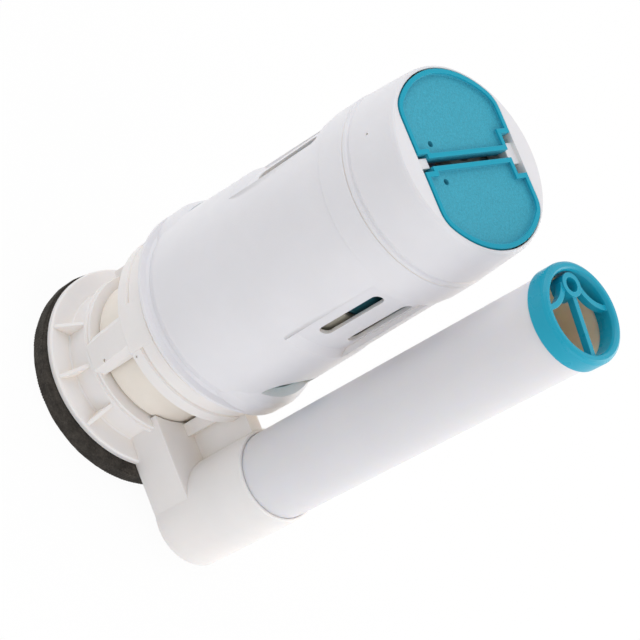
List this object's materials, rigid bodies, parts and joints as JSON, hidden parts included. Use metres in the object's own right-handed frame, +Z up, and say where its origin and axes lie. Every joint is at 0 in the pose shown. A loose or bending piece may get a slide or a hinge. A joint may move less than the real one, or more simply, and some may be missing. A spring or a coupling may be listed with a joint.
{
  "type": "toilet flush valve",
  "caption": "Dual-flush cistern outlet valve: slotted tower with split push buttons on a ported base with sponge gasket, beside an overflow tube with hose holder.",
  "frame": {"origin": "on the tower axis, at the mouth of the outlet, level with the underside of the sponge gasket", "axes": "+Z up the tower axis towards the push buttons, +X from the tower axis towards the overflow tube"},
  "size_m": [0.1164, 0.0824, 0.2001],
  "materials": {
    "sponge": "closed-cell sponge, matt black-brown",
    "base_plastic": "cream moulded plastic, satin",
    "seal_rubber": "black rubber, matt",
    "seal_silicone": "cream silicone, matt",
    "tube_plastic": "white moulded tube, satin, slightly blue",
    "cap_teal": "teal blue moulded plastic, satin gloss",
    "casing_plastic": "white moulded plastic, satin",
    "head_plastic": "white moulded plastic, satin",
    "inner_plastic": "off-white moulded plastic, satin",
    "steel": "stainless wire and pin, drawn",
    "button_teal": "teal blue moulded plastic, fine-textured plate",
    "lever_plastic": "white acetal, satin",
    "stem_plastic": "cream moulded plastic, satin",
    "float_teal": "teal blue moulded plastic, satin"
  },
  "bodies": {
    "valve_body": {"base_gasket": "sponge", "base_body": "base_plastic", "tube_seal": "seal_rubber", "overflow_tube": "tube_plastic", "overflow_cap": "cap_teal", "casing": "casing_plastic", "casing_head": "head_plastic", "lever_deck": "inner_plastic", "float_sleeve": "inner_plastic", "stem_guide": "inner_plastic", "full_pin": "steel", "half_pin": "steel", "full_spring": "steel", "half_spring": "steel"},
    "full_button": {"full_button": "button_teal"},
    "half_button": {"half_button": "button_teal"},
    "full_lever": {"full_lever": "lever_plastic"},
    "half_lever": {"half_lever": "lever_plastic"},
    "stem": {"main_stem": "stem_plastic", "stem_foot": "stem_plastic", "main_seal": "seal_silicone", "seal_retainer": "stem_plastic", "full_float": "float_teal"},
    "pilot": {"pilot_rod": "stem_plastic", "pilot_seal": "seal_silicone", "half_link": "inner_plastic", "half_float": "float_teal"}
  },
  "joints": [
    {"name": "full_press", "type": "slide", "parent": "valve_body", "child": "full_button", "axis": [0, 0, -1], "range_m": [0, 0.00439], "stiffness_N_per_m": 300, "springref_m": -0.004, "deforming": ["full_spring"]},
    {"name": "half_press", "type": "slide", "parent": "valve_body", "child": "half_button", "axis": [0, 0, -1], "range_m": [0, 0.00439], "stiffness_N_per_m": 300, "springref_m": -0.004, "deforming": ["half_spring"]},
    {"name": "full_lever_turn", "type": "hinge", "parent": "valve_body", "child": "full_lever", "pos_m": [0.0185, 0, 0.158], "axis": [0, 1, 0], "range_deg": [0, 34.1]},
    {"name": "half_lever_turn", "type": "hinge", "parent": "valve_body", "child": "half_lever", "pos_m": [-0.0185, 0, 0.158], "axis": [0, -1, 0], "range_deg": [0, 34.1]},
    {"name": "stem_lift", "type": "slide", "parent": "valve_body", "child": "stem", "axis": [0, 0, 1], "range_m": [0, 0.00705]},
    {"name": "pilot_lift", "type": "slide", "parent": "stem", "child": "pilot", "axis": [0, 0, 1], "range_m": [0, 0.00705]}
  ],
  "couplings": [
    {"joint": "full_lever_turn", "follows": "full_press", "rad_per_m": 135.31},
    {"joint": "stem_lift", "follows": "full_press", "ratio": 1.6},
    {"joint": "half_lever_turn", "follows": "half_press", "rad_per_m": 135.31},
    {"joint": "pilot_lift", "follows": "half_press", "ratio": 1.6}
  ]
}
